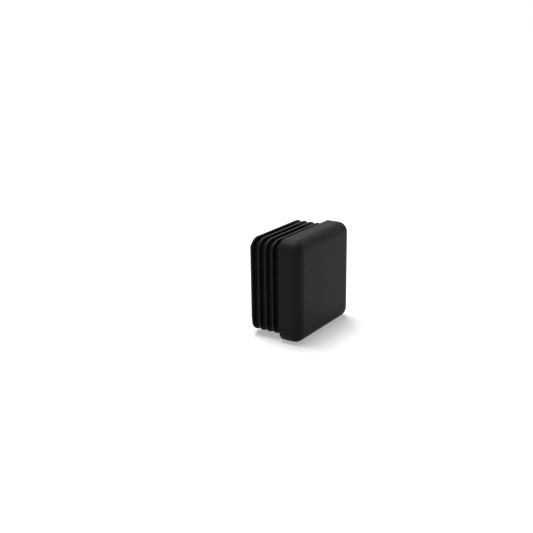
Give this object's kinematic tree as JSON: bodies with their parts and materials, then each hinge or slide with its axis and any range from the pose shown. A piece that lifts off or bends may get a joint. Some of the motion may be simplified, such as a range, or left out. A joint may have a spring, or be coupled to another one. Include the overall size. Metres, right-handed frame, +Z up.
{
  "type": "tube end cap",
  "caption": "Square plastic end cap with a thick head, rounded corners and edges, and a hollow finned plug that presses into the end of a square tube.",
  "frame": {"origin": "centre of the shoulder, in the plane that seats on the tube's end, on the tube's axis", "axes": "+X along the tube's axis and out of the tube, towards the head's outer face; +Z up and +Y across, square to the head's sides"},
  "size_m": [0.0182, 0.03, 0.03],
  "materials": {
    "black_polyethylene": "matte, fine spark-eroded mould texture"
  },
  "bodies": {
    "root": {"end_cap": "black_polyethylene"}
  },
  "joints": []
}
